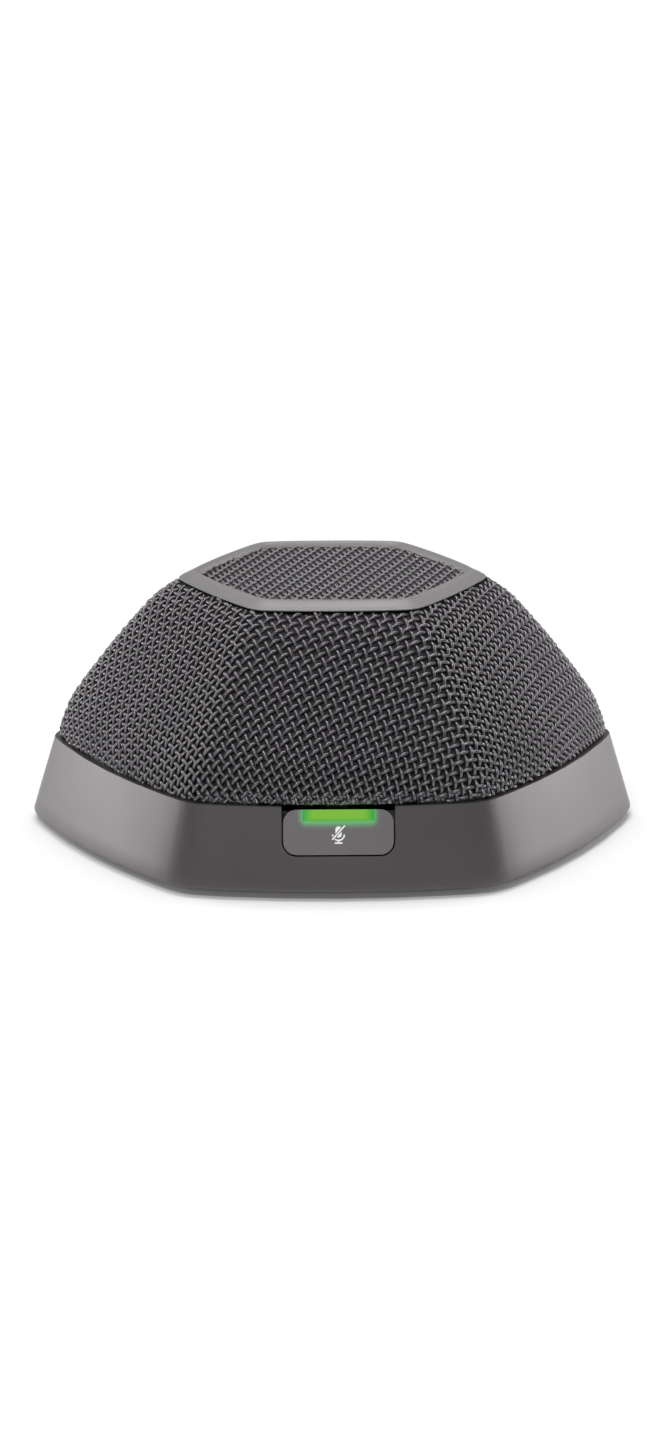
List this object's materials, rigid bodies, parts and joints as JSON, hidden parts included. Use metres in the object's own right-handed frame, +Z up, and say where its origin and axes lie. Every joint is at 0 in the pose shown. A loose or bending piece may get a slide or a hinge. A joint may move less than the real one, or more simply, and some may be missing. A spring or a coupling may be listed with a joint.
{
  "type": "conference microphone pod",
  "caption": "Low six-sided table microphone pod with a sloping base, a woven steel dome with a bezel round its flat top, and a lit press-to-mute button on the front.",
  "frame": {"origin": "centre of the resting plane under the feet", "axes": "+Z up, +X to the right of someone facing the mute button, front (button) towards -Y"},
  "size_m": [0.14, 0.1302, 0.0595],
  "materials": {
    "base_plastic": "satin metallic coat",
    "dark_plastic": "moulded",
    "rubber": "matt",
    "mesh_steel": "coated woven wire",
    "bezel_coat": "satin metallic coat",
    "steel": "zinc plated",
    "brass": "knurled",
    "jack_shield": "tinned",
    "contact_gold": "plated",
    "board_green": "solder mask",
    "chip_black": "moulded",
    "coil": "wound core",
    "capacitor_can": "sleeved",
    "socket_cream": "moulded",
    "ribbon_grey": "flat cable",
    "capsule_metal": "can",
    "foam": "open-cell foam",
    "button_coat": "satin coat",
    "icon_white": "printed",
    "lit_green": "lit diffuser",
    "stem_plastic": "moulded",
    "led": "clear"
  },
  "bodies": {
    "housing": {"rubber_feet": "rubber", "base_plate": "dark_plastic", "base_ring": "base_plastic", "ballast_plate": "steel", "ballast_screws": "steel", "base_screws": "steel", "brass_inserts": "brass", "ethernet_jack": "jack_shield", "jack_contacts": "contact_gold", "main_board": "board_green", "board_screws": "steel", "processor": "chip_black", "memory_chips": "chip_black", "power_transformer": "coil", "capacitors": "capacitor_can", "ribbon_sockets": "socket_cream", "ribbon_cable": "ribbon_grey", "mic_carrier": "dark_plastic", "carrier_screws": "steel", "mic_board": "board_green", "mic_board_screws": "steel", "mic_capsules": "capsule_metal", "mic_boots": "rubber", "top_foam": "foam", "grille_foam": "foam", "hem_band": "steel", "grille_shell": "mesh_steel", "top_grille": "mesh_steel", "top_bezel": "bezel_coat", "button_bracket": "dark_plastic", "button_board": "board_green", "button_board_screws": "steel", "tact_switch": "chip_black", "status_leds": "led", "button_cable": "ribbon_grey"},
    "button": {"mute_button": "button_coat", "mute_icon": "icon_white", "light_bar": "lit_green"},
    "stem": {"switch_stem": "stem_plastic"}
  },
  "joints": [
    {"name": "mute_press", "type": "slide", "parent": "housing", "child": "button", "axis": [0, 0.9569, -0.2905], "range_m": [0, 0.0005], "stiffness_N_per_m": 800},
    {"name": "stem_press", "type": "slide", "parent": "housing", "child": "stem", "axis": [0, 0.9569, -0.2905], "range_m": [0, 0.0006]}
  ],
  "couplings": [
    {"joint": "stem_press", "follows": "mute_press", "ratio": 1}
  ]
}
